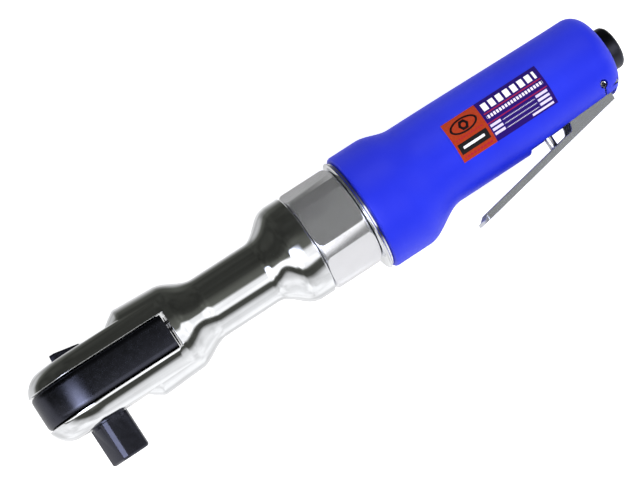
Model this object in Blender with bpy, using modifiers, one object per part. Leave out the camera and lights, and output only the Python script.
"""Inline air ratchet wrench, built as separate closed solids.

Frame: metres, +Z up.  The origin is the centre of the square drive's end face.
The drive points along -Y, the tool axis runs along +X towards the air inlet,
and the tool lies on its side with its labelled side facing +Z.
Lengths below are in millimetres and are scaled by MM when a mesh is made.
"""
import math

import bmesh
import bpy
from mathutils import Matrix, Vector

MM = 0.001
AXIS_Y = 30.5            # height of the tool axis above the drive's end face
GAP = 0.3                # running and seating clearance between pieces

# Head: ears, slot and drive.
HEAD_R = 20.5            # plan radius of the head about the drive axis
HEAD_TAIL_X = 40.0
HEAD_TAIL_Z = 16.4
EAR_Y = 14.5             # outer face of the lower ear
EAR_TOP_Y = 13.9         # outer face of the upper ear
EAR_PROFILE = ((7.9, 0.0), (10.3, 1.2), (12.3, 2.8), (13.6, 4.6), (14.3, 6.2), (14.5, 7.2))
SLOT_Y = 7.25            # half height of the slot between the ears
SLOT_END_X = 37.3
SPIGOT_R = 7.8           # anvil's upper spigot
DRUM_R = 9.7             # anvil's drum, which carries the pawl
DRIVE_SIDE = 12.7        # half-inch square drive
DRIVE_CORNER = 1.9
DRIVE_TURN = math.radians(30.0)
PAWL_PIVOT_X = 7.0
PAWL_TILT = math.radians(6.0)      # towards the yoke on its driving side
REVERSE_TURN = math.radians(20.0)  # plunger's angle at the forward setting
YOKE_Y = 6.95
YOKE_END_X = 35.8
YOKE_TEETH = 28
YOKE_TOOTH_TIP = 11.4
YOKE_TOOTH_ROOT = 12.5

# Crank and planetary gearing.
CRANK_THROW = 2.5
BUSHING_R = 3.4
SHAFT_R = 5.5
NECK_BORE_R = 7.9
GEAR_MODULE = 0.6
SUN_TEETH = 12
PLANET_TEETH = 12
RING_TEETH = 36
PLANETS = 3
PLANET_ORBIT = GEAR_MODULE * (SUN_TEETH + PLANET_TEETH) / 2
GEAR_X0 = 89.0
GEAR_X1 = 96.6

# Neck, collar, nut and motor.
SHOULDER_X = 23.2
SHOULDER_R = 18.6
NECK_R = 12.5
COLLAR_R = 20.35
COLLAR_X = 97.3
NUT_X0 = 97.6
NUT_X1 = 118.6
NUT_FLATS = 38.0
NUT_CORNER_R = 20.6
NUT_TURN = math.radians(21.4)
MOTOR_X0 = 104.4
MOTOR_X1 = 144.9
ROTOR_R = 8.2
CYLINDER_BORE = 9.6
CYLINDER_OFFSET = 1.0
VANES = 4

# Grip sleeve.
SLEEVE_X0 = 121.2
SLEEVE_X1 = 233.0
SLEEVE_SIDES = 40

LABEL_X0 = 161.4
LABEL_X1 = 204.1
LABEL_LOW = -7.6
LABEL_HIGH = 8.8

# Throttle lever, stem and valve.
PIVOT_X = 223.8
PIVOT_Y = -11.0
LEVER_SLOPE = math.radians(10.7)
LEVER_TIP_X = 156.4
LEVER_REAR_X = PIVOT_X + 2.3
LEVER_FACE_Y = -17.8     # outer face at LEVER_REAR_X
LEVER_SHEET = 1.3
LEVER_WALL = 2.6         # height of the side walls along the blade
LEVER_EAR = 9.0          # height of the side walls near the pivot
LEVER_HALF = 7.0
LEVER_SLOT = 7.4
STEM_X = 197.5
STEM_R = 1.75
VALVE_X = 215.5           # front face of the valve disc
VALVE_R = 4.6
INLET_R = 8.75
INLET_END_X = 239.0

STEEL = ("polished_steel", (0.62, 0.62, 0.61), 0.16, 1.0)
BLACK_STEEL = ("black_steel", (0.02, 0.022, 0.03), 0.35, 0.8)
HARD_STEEL = ("hardened_steel", (0.42, 0.42, 0.43), 0.3, 1.0)
CAST_ALUMINIUM = ("cast_aluminium", (0.66, 0.67, 0.68), 0.35, 1.0)
BRONZE = ("bronze", (0.55, 0.36, 0.14), 0.35, 1.0)
BLUE_PLASTIC = ("blue_grip", (0.02, 0.04, 0.75), 0.35, 0.0)
RUBBER = ("black_rubber", (0.02, 0.02, 0.02), 0.7, 0.0)
COMPOSITE = ("vane_composite", (0.12, 0.07, 0.03), 0.6, 0.0)
FELT = ("muffler_felt", (0.35, 0.34, 0.31), 0.95, 0.0)
FOIL = ("label_foil", (0.03, 0.02, 0.2), 0.4, 0.0)


# ---------------------------------------------------------------- scene set-up

def clear_scene():
    for obj in list(bpy.data.objects):
        bpy.data.objects.remove(obj, do_unlink=True)


def new_collection(name):
    group = bpy.data.collections.new(name)
    bpy.context.scene.collection.children.link(group)
    return group


def get_material(finish):
    name, colour, roughness, metallic = finish
    mat = bpy.data.materials.get(name)
    if mat is None:
        mat = bpy.data.materials.new(name)
        mat.use_nodes = True
        shader = mat.node_tree.nodes["Principled BSDF"]
        shader.inputs["Base Color"].default_value = (*colour, 1.0)
        shader.inputs["Roughness"].default_value = roughness
        shader.inputs["Metallic"].default_value = metallic
        mat.diffuse_color = (*colour, 1.0)
    return mat


clear_scene()
PARTS = new_collection("air_ratchet")
CUTTERS = new_collection("cutters")


# ------------------------------------------------------------- shape builders

def add_object(name, data, finish, at=(0, 0, 0), turn=(0, 0, 0)):
    """Link data as an object; finish None makes it a hidden cutter."""
    obj = bpy.data.objects.new(name, data)
    obj.location = Vector((at[0], AXIS_Y + at[1], at[2])) * MM
    obj.rotation_euler = turn
    if finish is None:
        obj.hide_render = True
        obj.display_type = "WIRE"
        CUTTERS.objects.link(obj)
    else:
        data.materials.append(get_material(finish))
        PARTS.objects.link(obj)
    return obj


def axis_turn(axis, spin=0.0):
    """Rotation that takes local +Z to world +X, +Y or +Z."""
    if axis == "X":
        return (Matrix.Rotation(spin, 3, "X") @ Matrix.Rotation(math.pi / 2, 3, "Y")).to_euler()
    if axis == "Y":
        return (Matrix.Rotation(spin, 3, "Y") @ Matrix.Rotation(-math.pi / 2, 3, "X")).to_euler()
    return (0.0, 0.0, spin)


def shade(mesh):
    mesh.shade_smooth()
    mesh.set_sharp_from_angle(angle=math.radians(35))


def turned(name, profile, finish, axis="X", at=(0, 0, 0), steps=32, ring=False):
    """Solid of revolution; profile is (radius, height) down its outer side."""
    points = list(profile)
    if not ring:
        points = [(0.0, points[0][1])] + points + [(0.0, points[-1][1])]
    mesh = bpy.data.meshes.new(name)
    edges = [(i, i + 1) for i in range(len(points) - 1)]
    if ring:
        edges.append((len(points) - 1, 0))
    mesh.from_pydata([(r * MM, 0.0, h * MM) for r, h in points], edges, [])
    obj = add_object(name, mesh, finish, at, axis_turn(axis))
    screw = obj.modifiers.new("turn", "SCREW")
    screw.axis = "Z"
    screw.angle = 2 * math.pi
    screw.steps = steps
    screw.render_steps = steps
    screw.use_merge_vertices = True
    screw.merge_threshold = 1e-6
    screw.use_smooth_shade = True
    return obj


def tube(name, outer, inner, h0, h1, finish, axis="X", at=(0, 0, 0), steps=32):
    profile = [(outer, h1), (outer, h0), (inner, h0), (inner, h1)]
    return turned(name, profile, finish, axis, at, steps, ring=True)


def rod(name, radius, h0, h1, finish, axis="X", at=(0, 0, 0), steps=16):
    return turned(name, [(radius, h1), (radius, h0)], finish, axis, at, steps)


def plate(name, outlines, h0, h1, finish, axis="Z", at=(0, 0, 0), spin=0.0):
    """Flat outline, with any holes, extruded from h0 to h1 along the axis."""
    curve = bpy.data.curves.new(name, "CURVE")
    curve.dimensions = "2D"
    curve.fill_mode = "BOTH"
    curve.extrude = (h1 - h0) / 2 * MM
    for outline in outlines:
        spline = curve.splines.new("POLY")
        spline.points.add(len(outline) - 1)
        for point, (x, y) in zip(spline.points, outline):
            point.co = (x * MM, y * MM, 0.0, 1.0)
        spline.use_cyclic_u = True
    guide = bpy.data.objects.new(name + "_outline", curve)
    CUTTERS.objects.link(guide)
    mesh = mesh_from_curve(guide)
    mesh.transform(Matrix.Translation((0, 0, (h0 + h1) / 2 * MM)))
    return add_object(name, mesh, finish, at, axis_turn(axis, spin))


def mesh_from_curve(guide):
    """Evaluate a curve object to one closed mesh and remove the curve."""
    depsgraph = bpy.context.evaluated_depsgraph_get()
    mesh = bpy.data.meshes.new_from_object(guide.evaluated_get(depsgraph))
    bpy.data.objects.remove(guide, do_unlink=True)
    bm = bmesh.new()
    bm.from_mesh(mesh)
    bmesh.ops.remove_doubles(bm, verts=bm.verts, dist=1e-6)
    bmesh.ops.recalc_face_normals(bm, faces=bm.faces)
    bm.to_mesh(mesh)
    bm.free()
    shade(mesh)
    return mesh


def block(name, low, high, finish=None, at=(0, 0, 0), turn=(0, 0, 0)):
    bm = bmesh.new()
    bmesh.ops.create_cube(bm, size=1.0)
    size = [b - a for a, b in zip(low, high)]
    middle = [(a + b) / 2 for a, b in zip(low, high)]
    bmesh.ops.scale(bm, vec=Vector(size) * MM, verts=bm.verts)
    bmesh.ops.translate(bm, vec=Vector(middle) * MM, verts=bm.verts)
    mesh = bpy.data.meshes.new(name)
    bm.to_mesh(mesh)
    bm.free()
    return add_object(name, mesh, finish, at, turn)


def ball(name, radius, finish, at):
    bm = bmesh.new()
    bmesh.ops.create_uvsphere(bm, u_segments=14, v_segments=9, radius=radius * MM)
    mesh = bpy.data.meshes.new(name)
    bm.to_mesh(mesh)
    bm.free()
    shade(mesh)
    return add_object(name, mesh, finish, at)


def spring(name, radius, wire, length, turns, finish, at, turn):
    """Helical compression spring that rises along local +Z from its origin."""
    steps = turns * 10
    curve = bpy.data.curves.new(name, "CURVE")
    curve.dimensions = "3D"
    curve.bevel_depth = wire / 2 * MM
    curve.bevel_resolution = 1
    curve.use_fill_caps = True
    spline = curve.splines.new("POLY")
    spline.points.add(steps)
    for i, point in enumerate(spline.points):
        angle = 2 * math.pi * turns * i / steps
        x = radius * math.cos(angle)
        y = radius * math.sin(angle)
        point.co = (x * MM, y * MM, length * i / steps * MM, 1.0)
    guide = bpy.data.objects.new(name + "_path", curve)
    CUTTERS.objects.link(guide)
    return add_object(name, mesh_from_curve(guide), finish, at, turn)


def combine(obj, other, operation="DIFFERENCE"):
    mod = obj.modifiers.new(other.name, "BOOLEAN")
    mod.operation = operation
    mod.object = other
    mod.solver = "EXACT"


# ------------------------------------------------------------------- outlines

def circle(radius, count, centre=(0.0, 0.0)):
    return [(centre[0] + radius * math.cos(2 * math.pi * i / count),
             centre[1] + radius * math.sin(2 * math.pi * i / count)) for i in range(count)]


def arc(cx, cy, radius, start, end, count):
    """Points on an arc between two angles in degrees."""
    angles = [math.radians(start + (end - start) * i / count) for i in range(count + 1)]
    return [(cx + radius * math.cos(a), cy + radius * math.sin(a)) for a in angles]


def teardrop(radius, tail_x, tail_half):
    """Round nose about the origin, with sides that taper to a straight tail."""
    reach = math.hypot(tail_x, tail_half)
    lean = math.atan2(tail_half, tail_x) + math.acos(radius / reach)
    start = math.degrees(lean)
    return [(tail_x, -tail_half), (tail_x, tail_half)] + arc(0, 0, radius, start, 360 - start, 22)


def gear(teeth, tip, root, tip_share, root_share, phase=0.0):
    """Toothed outline; the shares are each tooth's width over its pitch."""
    points = []
    pitch = 2 * math.pi / teeth
    for i in range(teeth):
        middle = phase + i * pitch
        for radius, share in ((root, -root_share), (tip, -tip_share), (tip, tip_share), (root, root_share)):
            angle = middle + share * pitch / 2
            points.append((radius * math.cos(angle), radius * math.sin(angle)))
    return points


# ----------------------------------------------------------------------- head

def shoulder_profile():
    """(radius, x) of the ratchet housing from its collar back to the head."""
    points = [(COLLAR_R, COLLAR_X), (COLLAR_R, 90.0), (16.8, 85.0), (14.4, 81.5), (NECK_R, 77.5)]
    points += [(NECK_R, 54.0)]
    for i in range(1, 8):
        t = i / 8
        rise = 0.5 - 0.5 * math.cos(math.pi * t)
        points.append((NECK_R + (17.8 - NECK_R) * rise, 54.0 - 15.0 * t))
    points += [(17.8, 39.0), (SHOULDER_R, SHOULDER_X), (18.2, SHOULDER_X - 1.0)]
    points += [(16.4, SHOULDER_X - 3.8), (14.4, SHOULDER_X - 6.4), (12.0, SHOULDER_X - 8.6)]
    return points


def make_head_blank():
    """Teardrop block with crowned ears, faired into the shoulder behind them."""
    levels = [(-height, inset) for height, inset in reversed(EAR_PROFILE)]
    levels += [(height * EAR_TOP_Y / EAR_Y, inset) for height, inset in EAR_PROFILE]
    rings = []
    for height, inset in levels:
        outline = teardrop(HEAD_R - inset, HEAD_TAIL_X, HEAD_TAIL_Z - inset)
        rings.append([(x, height, z) for x, z in outline])
    head = loft("head_blank", rings, None)
    fairing = [(17.2, 45.0), (17.4, 40.0), (18.7, 35.0), (20.2, 30.0), (22.5, 24.0), (26.0, 12.0), (26.0, -25.0)]
    combine(head, turned("head_fairing", fairing, None, steps=48), "INTERSECT")
    return head


def make_ratchet_housing():
    body = turned("ratchet_housing", shoulder_profile(), STEEL, steps=48)
    spigot = rod("spigot_blank", 15.2, 90.0, 106.0, None, steps=32)
    combine(body, spigot, "UNION")
    combine(body, make_head_blank(), "UNION")
    combine(body, block("slot_cut", (-30, -SLOT_Y, -30), (SLOT_END_X, SLOT_Y, 30)))
    drive_bore = [(8.1, 20.0), (8.1, 0.0), (DRUM_R + 0.6, 0.0), (DRUM_R + 0.6, -20.0)]
    combine(body, turned("drive_bore_cut", drive_bore, None, axis="Y"))
    crank_bore = [(13.2, 110.0), (13.2, 86.0), (NECK_BORE_R, 86.0), (NECK_BORE_R, 40.0)]
    crank_bore += [(6.4, 40.0), (6.4, 30.0)]
    combine(body, turned("crank_bore_cut", crank_bore, None))


def make_yoke():
    outline = teardrop(HEAD_R - 0.2, YOKE_END_X, 16.9)
    teeth = gear(YOKE_TEETH, YOKE_TOOTH_TIP, YOKE_TOOTH_ROOT, 0.2, 0.85)
    yoke = plate("ratchet_yoke", [outline, teeth], -YOKE_Y, YOKE_Y, BLACK_STEEL, axis="Y")
    half = BUSHING_R + 2 * CRANK_THROW + 2 * GAP
    combine(yoke, block("yoke_fork_cut", (24.5, -20, -half), (50, 20, half)))


def rounded_square(side, corner):
    """Square with its corners cut at 45 degrees."""
    half = side / 2
    inner = half - corner
    return [(half, -inner), (half, inner), (inner, half), (-inner, half),
            (-half, inner), (-half, -inner), (-inner, -half), (inner, -half)]


def make_anvil():
    profile = [(SPIGOT_R, 13.9), (SPIGOT_R, 7.3), (DRUM_R, 6.9), (DRUM_R, -12.1), (7.0, -12.1), (7.0, -16.0)]
    anvil = turned("anvil", profile, BLACK_STEEL, axis="Y")
    outline = rounded_square(DRIVE_SIDE, DRIVE_CORNER)
    square = plate("square_drive_blank", [outline], -AXIS_Y, -14.9, None, axis="Y", spin=DRIVE_TURN)
    chamfer = square.modifiers.new("end_chamfer", "BEVEL")
    chamfer.width = 0.8 * MM
    chamfer.segments = 1
    chamfer.angle_limit = math.radians(60)
    combine(anvil, square, "UNION")
    combine(anvil, rod("reverse_seat_cut", 6.9, 12.0, 20.0, None, axis="Y", steps=24))
    combine(anvil, rod("reverse_stem_cut", 2.9, -3.2, 13.0, None, axis="Y", steps=16))
    combine(anvil, block("pawl_pocket_cut", (4.2, -4.2, -20), (20, 4.2, 20)))
    combine(anvil, block("plunger_sweep_cut", (1.0, -1.5, -2.8), (6.0, 1.5, 2.8)))
    combine(anvil, rod("pawl_pin_cut", 1.25, -6.0, 10.0, None, axis="Y", at=(PAWL_PIVOT_X, 0, 0), steps=12))
    face = Vector((math.cos(DRIVE_TURN), 0, -math.sin(DRIVE_TURN)))
    centre = (0, -25.5, 0)
    turn = face.to_track_quat("Z", "Y").to_euler()
    cutter = rod("detent_cut", 2.2, -1.5, 12.0, None, at=centre, steps=14)
    cutter.rotation_euler = turn
    combine(anvil, cutter)
    seat = face * (DRIVE_SIDE / 2 - 1.1)
    ball("drive_detent_ball", 1.85, HARD_STEEL, tuple(seat + Vector(centre)))
    spring("drive_detent_spring", 1.3, 0.5, 3.4, 3, HARD_STEEL, tuple(face * -0.9 + Vector(centre)), turn)
    tube("thrust_washer", 9.9, 7.4, -13.2, -12.5, BRONZE, axis="Y")
    tube("retaining_ring", 9.9, 7.4, -14.3, -13.5, HARD_STEEL, axis="Y")


def make_pawl():
    """Rocking pawl, tilted by the plunger of the reverse lever."""
    outline = [(5.0, -3.0), (5.0, 3.0), (6.9, 6.6)]
    outline += arc(0, 0, 10.2, 46, -46, 8)
    outline += [(6.9, -6.6)]
    outline = [(x - PAWL_PIVOT_X, y) for x, y in outline]
    at = (PAWL_PIVOT_X, 0, 0)
    plate("pawl", [outline, circle(1.25, 12)], -3.9, 3.9, HARD_STEEL, axis="Y", at=at, spin=-PAWL_TILT)
    rod("pawl_pin", 1.0, -5.8, 6.6, HARD_STEEL, axis="Y", at=at, steps=12)
    plunger = turned("pawl_plunger", [(0.4, 4.7), (1.15, 4.2), (1.15, 2.0)], HARD_STEEL, steps=12)
    plunger.rotation_euler = (0.0, math.pi / 2 + REVERSE_TURN, 0.0)
    start = (-0.95 * math.cos(REVERSE_TURN), 0, 0.95 * math.sin(REVERSE_TURN))
    spring("plunger_spring", 0.8, 0.35, 2.6, 3, HARD_STEEL, start, plunger.rotation_euler)


def make_reverse_lever():
    stem = [(6.5, 14.2), (6.5, 12.3), (2.6, 12.3), (2.6, -2.8)]
    lever = turned("reverse_lever", stem, BLACK_STEEL, axis="Y", steps=24)
    tab = [(-6.0, 13.8), (6.0, 13.8), (6.0, 15.0), (-3.8, 16.9), (-5.7, 16.9)]
    wedge = plate("reverse_tab_blank", [tab], -3.2, 3.2, None)
    combine(lever, wedge, "UNION")
    seat = rod("plunger_seat_cut", 1.4, -1.5, 4.0, None, steps=12)
    seat.rotation_euler = (0.0, math.pi / 2 + REVERSE_TURN, 0.0)
    combine(lever, seat)


# ------------------------------------------------------------- crank and gears

def make_crankshaft():
    profile = [(11.6, 88.4), (11.6, 86.6), (SHAFT_R, 86.6), (SHAFT_R, 38.0)]
    crank = turned("crankshaft", profile, HARD_STEEL)
    pin = rod("crank_pin_blank", 2.2, 28.2, 39.0, None, at=(0, CRANK_THROW, 0))
    combine(crank, pin, "UNION")
    combine(crank, rod("sun_relief_cut", 3.4, 84.0, 92.0, None))
    barrel = [(BUSHING_R - 0.6, 34.4), (BUSHING_R, 33.0), (BUSHING_R, 30.2), (BUSHING_R - 0.6, 28.8)]
    barrel += [(2.5, 28.8), (2.5, 34.4)]
    turned("drive_bushing", barrel, BRONZE, at=(0, CRANK_THROW, 0), steps=20, ring=True)
    tube("crank_bearing_front", 7.6, 5.8, 40.3, 50.0, HARD_STEEL)
    tube("crank_bearing_rear", 7.6, 5.8, 68.0, 78.0, HARD_STEEL)
    for i in range(PLANETS):
        make_planet(i, crank)


def make_planet(i, crank):
    angle = 2 * math.pi * i / PLANETS
    at = (0, PLANET_ORBIT * math.cos(angle), PLANET_ORBIT * math.sin(angle))
    number = str(i + 1)
    outer = GEAR_MODULE * (PLANET_TEETH / 2 + 0.8)
    root = GEAR_MODULE * (PLANET_TEETH / 2 - 1.15)
    teeth = gear(PLANET_TEETH, outer, root, 0.2, 0.62, math.pi / 2 + math.pi / PLANET_TEETH)
    plate("planet_gear_" + number, [teeth, circle(1.7, 12)], GEAR_X0, GEAR_X1, HARD_STEEL, axis="X", at=at)
    rod("planet_pin_" + number, 1.4, 86.9, 96.9, HARD_STEEL, at=at, steps=12)
    combine(crank, rod("planet_pin_cut_" + number, 1.7, 85.0, 90.0, None, at=at, steps=12))


def make_ring_gear():
    tip = GEAR_MODULE * (RING_TEETH / 2 - 0.8)
    root = GEAR_MODULE * (RING_TEETH / 2 + 1.15)
    teeth = gear(RING_TEETH, tip, root, 0.25, 0.62, math.pi / 2)
    plate("ring_gear", [circle(12.9, 36), teeth], 88.8, 97.0, HARD_STEEL, axis="X")
    tube("gear_spacer", 12.9, 4.6, 97.4, 98.6, HARD_STEEL)


# ---------------------------------------------------------------------- motor

def make_motor():
    tube("front_end_plate", 12.4, 7.3, 99.0, MOTOR_X0 - 0.3, CAST_ALUMINIUM)
    tube("front_bearing", 7.0, 3.1, 99.3, 103.8, HARD_STEEL)
    tube("rear_end_plate", 12.4, 7.3, MOTOR_X1 + 0.3, 150.0, CAST_ALUMINIUM)
    tube("rear_bearing", 7.0, 3.1, 145.6, 149.7, HARD_STEEL)
    cylinder = rod("cylinder", 12.4, MOTOR_X0, MOTOR_X1, HARD_STEEL, steps=32)
    bore = rod("cylinder_bore_cut", CYLINDER_BORE, 90, 160, None, at=(0, CYLINDER_OFFSET, 0), steps=32)
    combine(cylinder, bore)
    pin_cut = rod("cylinder_pin_cut", 1.2, 90, 160, None, at=(0, -10.6, 0), steps=10)
    combine(cylinder, pin_cut)
    for plate_name in ("front_end_plate", "rear_end_plate"):
        combine(bpy.data.objects[plate_name], pin_cut)
    rod("cylinder_pin", 0.9, 100.0, 149.0, HARD_STEEL, at=(0, -10.6, 0), steps=10)
    make_rotor()


def make_rotor():
    sun_tip = GEAR_MODULE * (SUN_TEETH / 2 + 0.8)
    sun_root = GEAR_MODULE * (SUN_TEETH / 2 - 1.15)
    profile = [(2.8, 149.5), (2.8, MOTOR_X1 - 0.4), (ROTOR_R, MOTOR_X1 - 0.4), (ROTOR_R, MOTOR_X0 + 0.4)]
    profile += [(2.8, MOTOR_X0 + 0.4), (2.8, 96.0)]
    rotor = turned("rotor", profile, HARD_STEEL)
    pinion = [gear(SUN_TEETH, sun_tip, sun_root, 0.2, 0.62, math.pi / 2)]
    combine(rotor, plate("sun_pinion_blank", pinion, GEAR_X0 + 0.3, 97.0, None, axis="X"), "UNION")
    for i in range(VANES):
        turn = (2 * math.pi * i / VANES + math.pi / 4, 0.0, 0.0)
        combine(rotor, block("vane_slot_cut_%d" % i, (100.0, 3.4, -0.8), (148, 12.0, 0.8), turn=turn))
        low = (MOTOR_X0 + 0.4, 3.8, -0.5)
        high = (MOTOR_X1 - 0.4, ROTOR_R - 0.1, 0.5)
        block("vane_%d" % (i + 1), low, high, COMPOSITE, turn=turn)


def make_motor_housing():
    outer = [(12.0, 230.2), (12.0, 175.5), (15.0, 175.5), (15.0, 106.5)]
    bore = [(12.7, 106.5), (12.7, 152.0), (4.0, 152.0), (4.0, VALVE_X - 21.5), (5.5, VALVE_X - 21.5)]
    bore += [(5.5, VALVE_X - 3.3), (7.8, VALVE_X - 3.3), (7.8, 230.2)]
    housing = turned("motor_housing", outer + bore, CAST_ALUMINIUM, ring=True)
    lug = block("pivot_lug_blank", (PIVOT_X - 23, -13.0, -10.0), (230.2, -8.3, 10.0))
    combine(housing, lug, "UNION")
    combine(housing, block("lever_slot_cut", (PIVOT_X - 25.5, -20, -LEVER_SLOT), (240, -8.35, LEVER_SLOT)))
    combine(housing, rod("pivot_bore_cut", 1.6, -30, 30, None, axis="Z", at=(PIVOT_X, PIVOT_Y, 0), steps=16))
    combine(housing, rod("stem_bore_cut", 3.6, -20, -2, None, axis="Y", at=(STEM_X, 0, 0), steps=16))


def make_coupling_nut():
    hexagon = circle(NUT_FLATS / math.sqrt(3), 6)
    nut = plate("coupling_nut", [hexagon], NUT_X0, NUT_X1, STEEL, axis="X", spin=NUT_TURN)
    turning = [(NUT_CORNER_R - 1.2, NUT_X1 + 0.1), (NUT_CORNER_R, NUT_X1 - 1.2)]
    turning += [(NUT_CORNER_R, NUT_X0 + 1.2), (NUT_CORNER_R - 1.2, NUT_X0 - 0.1)]
    combine(nut, turned("nut_turning", turning, None, steps=48), "INTERSECT")
    combine(nut, rod("nut_bore_cut", 15.55, 90, 130, None, steps=32))


# ---------------------------------------------------------------------- sleeve

def ramp(x, x0, y0, x1, y1):
    """Smooth step from y0 at x0 to y1 at x1, constant outside."""
    t = min(max((x - x0) / (x1 - x0), 0.0), 1.0)
    t = t * t * (3 - 2 * t)
    return y0 + (y1 - y0) * t


def sleeve_section(x):
    """Upper height, lower depth and half width of the grip sleeve at x."""
    upper = ramp(x, 134.0, 22.6, 147.0, 19.6) - ramp(x, 150.0, 0.0, 225.0, 0.8)
    lower = ramp(x, 137.0, 25.6, 156.0, 18.1) - ramp(x, 185.0, 0.0, 232.0, 1.7)
    half = ramp(x, 135.0, 21.6, 150.0, 18.6) - ramp(x, 190.0, 0.0, 232.0, 0.6)
    return upper, lower, half


def egg_ring(x, inset=0.0, count=SLEEVE_SIDES):
    """Points of the sleeve's egg-shaped section at x, pulled in by inset."""
    upper, lower, half = sleeve_section(x)
    ring = []
    for i in range(count):
        angle = 2 * math.pi * i / count
        height = upper if math.cos(angle) > 0 else lower
        ring.append((x, (height - inset) * math.cos(angle), (half - inset) * math.sin(angle)))
    return ring


def loft(name, rings, finish, at=(0, 0, 0)):
    """Closed skin through unlike sections, with flat ends."""
    bm = bmesh.new()
    rows = [[bm.verts.new(Vector(p) * MM) for p in ring] for ring in rings]
    count = len(rows[0])
    for first, second in zip(rows, rows[1:]):
        for i in range(count):
            j = (i + 1) % count
            bm.faces.new((first[i], first[j], second[j], second[i]))
    bm.faces.new(rows[0])
    bm.faces.new(list(reversed(rows[-1])))
    bmesh.ops.recalc_face_normals(bm, faces=bm.faces)
    mesh = bpy.data.meshes.new(name)
    bm.to_mesh(mesh)
    bm.free()
    shade(mesh)
    return add_object(name, mesh, finish, at)


def make_grip_sleeve():
    rear_round = 6.8
    stations = [SLEEVE_X0, 122.4, 134.0, 137.0, 140.0, 143.0, 146.0, 150.0, 154.0, 165.0, 185.0, 210.0]
    insets = [1.2] + [0.0] * (len(stations) - 1)
    for degrees in (0, 22, 45, 68, 84):
        a = math.radians(degrees)
        stations.append(SLEEVE_X1 - rear_round * (1 - math.sin(a)))
        insets.append(rear_round * (1 - math.cos(a)))
    rings = [egg_ring(x, inset) for x, inset in zip(stations, insets)]
    sleeve = loft("grip_sleeve", rings, BLUE_PLASTIC)
    cavity = [(9.1, 240.0), (9.1, 230.5), (12.3, 230.5), (12.3, 175.8), (15.3, 175.8), (15.3, 138.0)]
    cavity += [(17.6, 138.0), (17.6, 115.0)]
    combine(sleeve, turned("sleeve_cavity_cut", cavity, None, steps=36))
    combine(sleeve, block("lug_pocket_cut", (PIVOT_X - 23.4, -13.35, -10.35), (230.5, 0, 10.35)))
    pocket = ((STEM_X - 9.5, -40, -LEVER_SLOT), (PIVOT_X + 5, -8, LEVER_SLOT))
    combine(sleeve, block("lever_pocket_cut", *pocket))
    combine(sleeve, rod("pin_hole_cut", 1.6, -30, 30, None, axis="Z", at=(PIVOT_X, PIVOT_Y, 0), steps=16))
    tube("muffler_ring", 17.3, 15.4, 122.5, 137.5, FELT)


def make_exhaust_deflector():
    rings = [egg_ring(SLEEVE_X0, inset, 32) for inset in (2.4, 0.8, 1.6)]
    places = (118.9, 119.6, 120.9)
    rings = [[(x, p[1], p[2]) for p in ring] for x, ring in zip(places, rings)]
    deflector = loft("exhaust_deflector", rings, CAST_ALUMINIUM)
    combine(deflector, rod("deflector_bore_cut", 15.4, 100, 140, None, steps=32))


def make_label():
    rings = []
    for radial in (0.3, 0.7):
        for x in (LABEL_X0, LABEL_X1):
            upper, lower, half = sleeve_section(x)
            ring = []
            for i in range(13):
                y = LABEL_LOW + (LABEL_HIGH - LABEL_LOW) * i / 12
                height = upper if y > 0 else lower
                z = (half + radial) * math.sqrt(1 - (y / (height + radial)) ** 2)
                ring.append((x, y, z))
            rings.append(ring)
    loft("label", [rings[0] + rings[2][::-1], rings[1] + rings[3][::-1]], FOIL)


# -------------------------------------------------------------- lever and valve

def face_y(x, inset=0.0):
    """Height of the lever's outer face at x, or a line set in from it."""
    drop = (LEVER_REAR_X - x) * math.tan(LEVER_SLOPE)
    return LEVER_FACE_Y - drop + inset / math.cos(LEVER_SLOPE)


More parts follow.
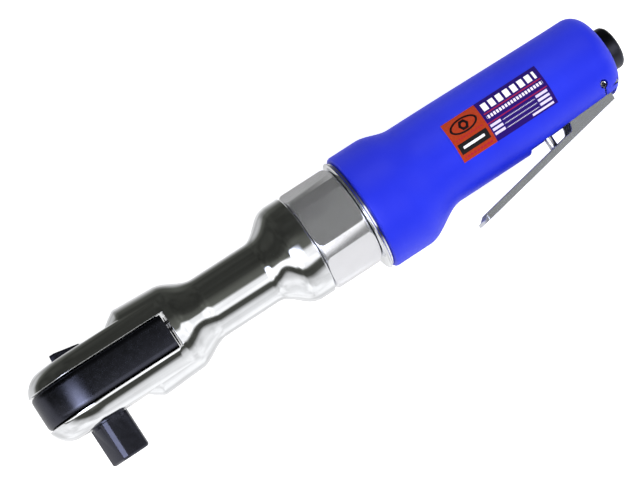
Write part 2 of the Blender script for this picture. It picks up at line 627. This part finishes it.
def make_throttle_lever():
    ear = [(x - PIVOT_X, y - PIVOT_Y) for x, y in arc(PIVOT_X, PIVOT_Y, 2.3, 0, 150, 8)]
    side = [(LEVER_TIP_X, 0.0), (LEVER_TIP_X, LEVER_SHEET), (LEVER_TIP_X + 2.6, LEVER_SHEET)]
    side += [(LEVER_TIP_X + 4.6, LEVER_WALL), (PIVOT_X - 19, LEVER_WALL)]
    side += [(PIVOT_X - 16, LEVER_EAR), (PIVOT_X - 8, LEVER_EAR)]
    below = [(x - PIVOT_X, face_y(x, inset) - PIVOT_Y) for x, inset in side]
    rear = [(LEVER_REAR_X - PIVOT_X, face_y(LEVER_REAR_X) - PIVOT_Y)]
    outline = rear + below + list(reversed(ear))
    at = (PIVOT_X, PIVOT_Y, 0)
    lever = plate("throttle_lever", [outline], -LEVER_HALF, LEVER_HALF, STEEL, at=at)
    channel = [(x - PIVOT_X, face_y(x, inset) - PIVOT_Y)
               for x, inset in ((150.0, LEVER_SHEET), (240.0, LEVER_SHEET), (240.0, 30.0), (150.0, 30.0))]
    inner = LEVER_HALF - LEVER_SHEET
    combine(lever, plate("lever_channel_cut", [channel], -inner, inner, None, at=at))
    tip = [(LEVER_REAR_X + 9 - PIVOT_X, -9.0), (LEVER_REAR_X + 9 - PIVOT_X, 9.0)]
    tip += arc(LEVER_TIP_X + 9.0 - PIVOT_X, 0.0, 9.0, 90, 270, 14)
    combine(lever, plate("lever_tip_trim", [tip], -30, 20, None, axis="Y", at=at), "INTERSECT")
    combine(lever, rod("lever_pin_hole_cut", 1.6, -30, 30, None, axis="Z", at=at, steps=16))
    rod("lever_pin", 1.3, -12.6, 12.6, HARD_STEEL, axis="Z", at=at)


def make_throttle():
    foot = face_y(STEM_X, LEVER_SHEET) + 0.4
    head = -1.2 - GAP
    stem = [(1.2, head), (STEM_R, head - 0.8), (STEM_R, foot + 1.0), (1.0, foot)]
    turned("throttle_stem", stem, HARD_STEEL, axis="Y", at=(STEM_X, 0, 0), steps=16)
    tube("stem_bushing", 3.3, 2.05, -11.6, -8.6, BRONZE, axis="Y", at=(STEM_X, 0, 0), steps=20)
    tube("stem_o_ring", 3.2, 2.05, -8.2, -6.8, RUBBER, axis="Y", at=(STEM_X, 0, 0), steps=20)
    valve = [(VALVE_R, 1.8), (VALVE_R, 0.0), (1.2, 0.0), (1.2, -19.0), (0.7, -20.0)]
    turned("throttle_valve", valve, RUBBER, at=(VALVE_X, 0, 0), steps=20)
    tube("valve_seat", 7.5, 2.7, VALVE_X - 3.0, VALVE_X - GAP, HARD_STEEL, steps=24)
    spring("valve_spring", 3.2, 0.6, 2.2, 2, HARD_STEEL, (220.5, 0, 0), axis_turn("X"))


def make_inlet():
    outer = [(7.3, INLET_END_X), (8.1, 238.4), (INLET_R, 237.2), (INLET_R, 230.8), (7.5, 230.8), (7.5, 223.4)]
    bore = [(4.0, 223.4), (4.0, 226.0), (5.8, 226.0), (5.8, INLET_END_X - 0.4), (6.1, INLET_END_X)]
    turned("inlet_bushing", outer + bore, BLACK_STEEL, steps=36, ring=True)
    centres = circle(3.0, 6)
    holes = [circle(1.0, 8, centre) for centre in centres]
    plate("inlet_screen", [circle(5.4, 20)] + holes, 226.3, 226.9, HARD_STEEL, axis="X")


def main():
    make_ratchet_housing()
    make_yoke()
    make_anvil()
    make_pawl()
    make_reverse_lever()
    make_crankshaft()
    make_ring_gear()
    make_motor()
    make_motor_housing()
    make_coupling_nut()
    make_grip_sleeve()
    make_exhaust_deflector()
    make_label()
    make_throttle_lever()
    make_throttle()
    make_inlet()


main()
